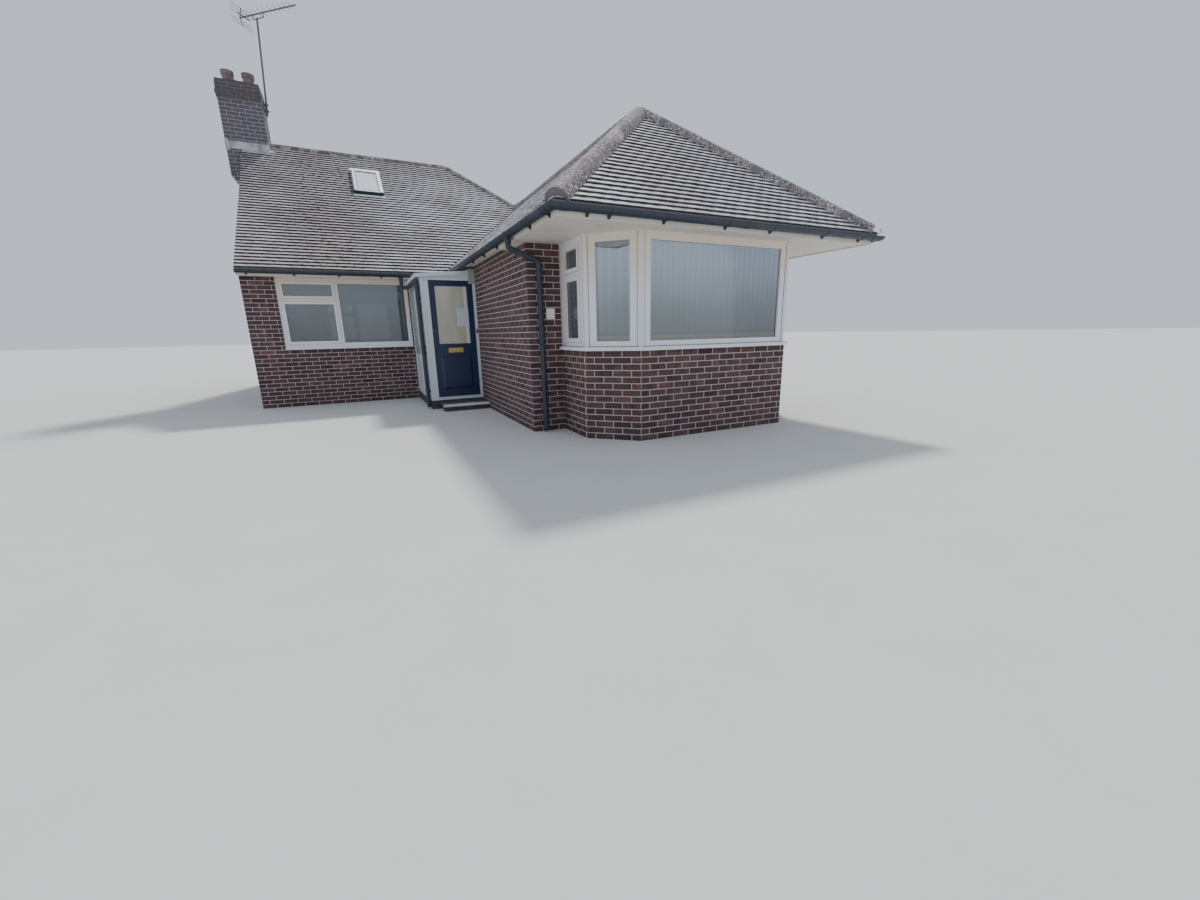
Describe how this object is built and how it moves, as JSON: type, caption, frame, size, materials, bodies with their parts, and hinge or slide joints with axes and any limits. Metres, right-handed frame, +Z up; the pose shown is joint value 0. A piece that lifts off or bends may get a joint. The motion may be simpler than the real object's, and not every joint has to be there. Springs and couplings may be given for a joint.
{
  "type": "semi-detached brick bungalow",
  "caption": "Brick bungalow, one half of a pair, with a hipped tiled roof, a front wing over a canted bay window, a ridge chimney and a small glazed porch whose front door opens.",
  "frame": {"origin": "ground level under the middle of the whole plan, gutters and chimney included", "axes": "+X right along the street front, +Y from the bay into the house, +Z up"},
  "size_m": [8.3184, 13.382, 8.1185],
  "materials": {
    "floor_concrete": "float finish",
    "brick": "matt multi-red brick in pale mortar",
    "ceiling_board": "painted board",
    "roof_tile": "weathered plain tiles",
    "ridge_tile": "weathered half-round tiles in mortar",
    "white_board": "white board, slightly dirty",
    "gutter_black": "black, dusty",
    "chimney_brick": "sooty brick",
    "chimney_pot": "dark fired clay",
    "lead": "dull grey sheet lead",
    "aerial_metal": "weathered tube",
    "rooflight_metal": "grey cover",
    "white_upvc": "white frame, satin",
    "window_glass": "clear",
    "step_concrete": "worn concrete",
    "door_navy": "navy, satin",
    "door_glass": "obscured, cream behind",
    "brass": "polished",
    "handle_metal": "satin",
    "number_tile": "white tile"
  },
  "bodies": {
    "building": {"floor_slab": "floor_concrete", "party_wall": "brick", "main_front_wall": "brick", "wing_left_wall": "brick", "wing_front_wall": "brick", "bay_wall": "brick", "right_wall": "brick", "rear_wall": "brick", "ceilings": "ceiling_board", "main_roof_front": "roof_tile", "main_roof_rear": "roof_tile", "main_roof_right": "roof_tile", "wing_roof_left": "roof_tile", "wing_roof_right": "roof_tile", "wing_roof_front": "roof_tile", "ridge_tiles": "ridge_tile", "hip_tiles": "ridge_tile", "soffit_boards": "white_board", "fascia_boards": "white_board", "gutters": "gutter_black", "downpipes": "gutter_black", "chimney_stack": "chimney_brick", "chimney_pots": "chimney_pot", "chimney_flashing": "lead", "tv_aerial": "aerial_metal", "rooflight_frame": "rooflight_metal", "rooflight_glass": "window_glass", "window_sills": "white_upvc", "bay_frames": "white_upvc", "bay_corner_posts": "white_upvc", "main_window_frame": "white_upvc", "side_window_frames": "white_upvc", "window_glass": "window_glass", "back_door": "white_upvc", "doorstep": "step_concrete", "porch_floor": "step_concrete", "porch_front_frame": "white_upvc", "porch_side_frame": "white_upvc", "porch_glass": "window_glass", "porch_roof": "white_board", "number_plate": "number_tile"},
    "door": {"front_door": "door_navy", "door_glass": "door_glass", "letter_plate": "brass", "door_handle": "handle_metal", "door_hinges": "handle_metal"}
  },
  "joints": [
    {"name": "front_door_hinge", "type": "hinge", "parent": "building", "child": "door", "pos_m": [-0.26475, -2.197, 1.2], "axis": [0, 0, -1], "range_deg": [0, 85]}
  ]
}
